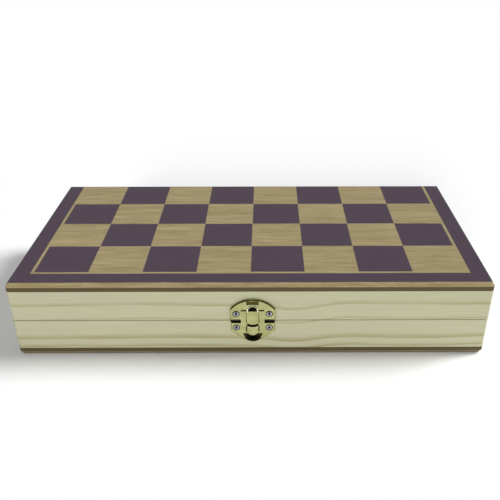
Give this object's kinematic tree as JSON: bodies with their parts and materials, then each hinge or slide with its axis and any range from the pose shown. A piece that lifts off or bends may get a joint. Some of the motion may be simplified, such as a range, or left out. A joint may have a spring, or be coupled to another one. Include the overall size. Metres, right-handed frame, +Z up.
{
  "type": "chess set",
  "caption": "Folding wooden chess box: two hinged trays whose outer faces make the board, held shut by a brass hasp, with turned chessmen lying inside.",
  "frame": {"origin": "under the middle of the closed box's footprint, hasp and hinge barrels included, on the surface it stands on", "axes": "+X along the front towards the right, +Y from the front to the hinges, +Z up"},
  "size_m": [0.29, 0.1494, 0.052],
  "materials": {
    "beech": "satin varnish over fine straight grain",
    "dark_print": "flat matte printed colour",
    "hardboard": "raw brown board edge",
    "pine": "clear varnish over pale pine",
    "brass": "bright plated stamping",
    "screw_steel": "nickel-plated",
    "light_wood": "satin varnish",
    "dark_wood": "satin stain"
  },
  "bodies": {
    "base": {"base_back_wall": "pine", "base_core": "hardboard", "base_face": "beech", "base_front_wall": "pine", "base_hinge_screws": "screw_steel", "base_left_wall": "pine", "base_print": "dark_print", "base_right_wall": "pine", "clasp_lower_plate": "brass", "clasp_lower_screws": "screw_steel", "dark_bishop_1": "dark_wood", "dark_bishop_2": "dark_wood", "dark_king": "dark_wood", "dark_knight_1": "dark_wood", "dark_knight_2": "dark_wood", "dark_pawn_1": "dark_wood", "dark_pawn_2": "dark_wood", "dark_pawn_3": "dark_wood", "dark_pawn_4": "dark_wood", "dark_pawn_5": "dark_wood", "dark_pawn_6": "dark_wood", "dark_pawn_7": "dark_wood", "dark_pawn_8": "dark_wood", "dark_queen": "dark_wood", "dark_rook_1": "dark_wood", "dark_rook_2": "dark_wood", "left_hinge_base_leaf": "brass", "left_hinge_pin": "brass", "light_bishop_1": "light_wood", "light_bishop_2": "light_wood", "light_king": "light_wood", "light_knight_1": "light_wood", "light_knight_2": "light_wood", "light_pawn_1": "light_wood", "light_pawn_2": "light_wood", "light_pawn_3": "light_wood", "light_pawn_4": "light_wood", "light_pawn_5": "light_wood", "light_pawn_6": "light_wood", "light_pawn_7": "light_wood", "light_pawn_8": "light_wood", "light_queen": "light_wood", "light_rook_1": "light_wood", "light_rook_2": "light_wood", "right_hinge_base_leaf": "brass", "right_hinge_pin": "brass"},
    "lid": {"clasp_upper_plate": "brass", "clasp_upper_screws": "screw_steel", "left_hinge_lid_leaf": "brass", "lid_back_wall": "pine", "lid_core": "hardboard", "lid_face": "beech", "lid_front_wall": "pine", "lid_hinge_screws": "screw_steel", "lid_left_wall": "pine", "lid_print": "dark_print", "lid_right_wall": "pine", "right_hinge_lid_leaf": "brass"},
    "hasp": {"clasp_hasp": "brass"}
  },
  "joints": [
    {"name": "lid_hinge", "type": "hinge", "parent": "base", "child": "lid", "pos_m": [0, 0.07343, 0.026], "axis": [-1, 0, 0], "range_deg": [0, 180]},
    {"name": "hasp_swing", "type": "hinge", "parent": "lid", "child": "hasp", "pos_m": [0.0012, -0.07218, 0.0386], "axis": [-1, 0, 0], "range_deg": [0, 90]}
  ]
}
